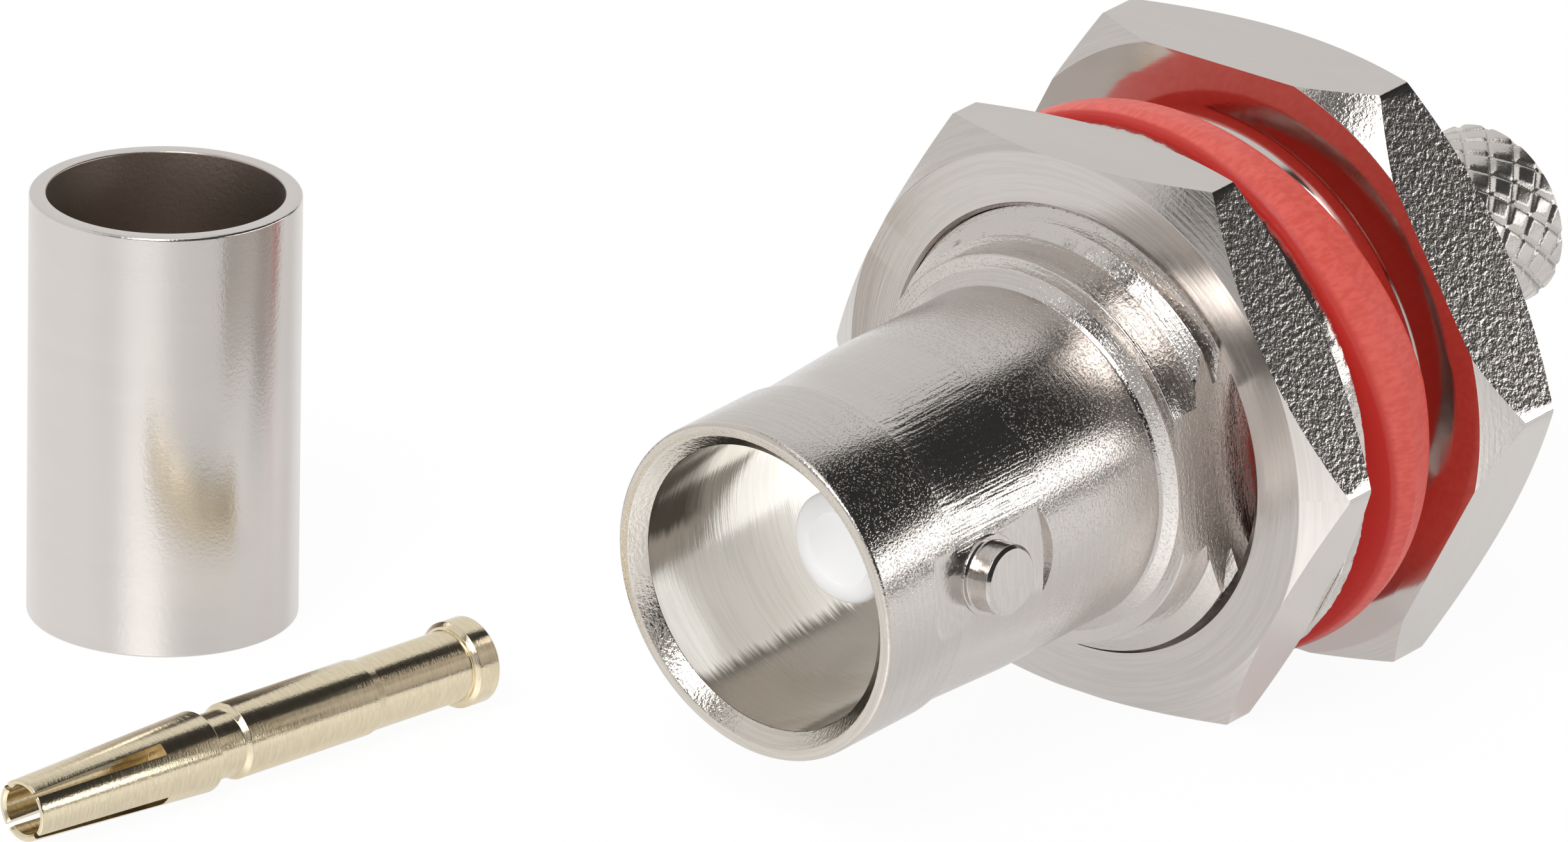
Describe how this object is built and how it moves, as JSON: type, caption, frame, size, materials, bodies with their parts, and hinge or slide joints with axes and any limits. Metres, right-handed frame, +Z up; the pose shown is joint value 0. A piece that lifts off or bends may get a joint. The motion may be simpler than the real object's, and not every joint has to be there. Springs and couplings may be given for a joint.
{
  "type": "bulkhead bnc jack",
  "caption": "Bulkhead BNC crimp jack with bayonet lugs, threaded neck, hexagon nut, lock washer, red gasket and hexagon flange, beside its gold contact and plain crimp ferrule.",
  "frame": {"origin": "middle of the bottom of the whole group's box, on the surface that it rests on", "axes": "+X runs back over the surface along the jack's axis, from the front lip towards the crimp stem; +Z is up. The jack rests on the nut and the flange, so its axis rises towards the rear by 4.87 degrees"},
  "size_m": [0.0462, 0.036, 0.0172],
  "materials": {
    "nickel_plate": "bright nickel plate on turned brass",
    "satin_nickel": "satin nickel plate",
    "spring_steel": "stamped, nickel plated",
    "gold_plate": "pale gold plate",
    "white_ptfe": "smooth, waxy",
    "red_silicone": "matte silicone"
  },
  "bodies": {
    "jack": {"shell": "nickel_plate", "front_insulator": "white_ptfe", "rear_insulator": "white_ptfe", "crimp_stem": "nickel_plate", "centre_contact": "gold_plate", "crimp_ferrule": "satin_nickel"},
    "seal": {"lock_washer": "spring_steel", "gasket": "red_silicone"},
    "nut": {"panel_nut": "nickel_plate"}
  },
  "joints": [
    {"name": "seal_travel", "type": "slide", "parent": "jack", "child": "seal", "axis": [0.9964, 0, 0.0849], "range_m": [-0.00318, 0.00109]},
    {"name": "nut_turn", "type": "hinge", "parent": "seal", "child": "nut", "pos_m": [0.00593, -0.00817, 0.00801], "axis": [0.9964, 0, 0.0849], "range_deg": [-1260, 430]}
  ],
  "couplings": [
    {"joint": "seal_travel", "follows": "nut_turn", "m_per_rad": 0.00014438}
  ]
}
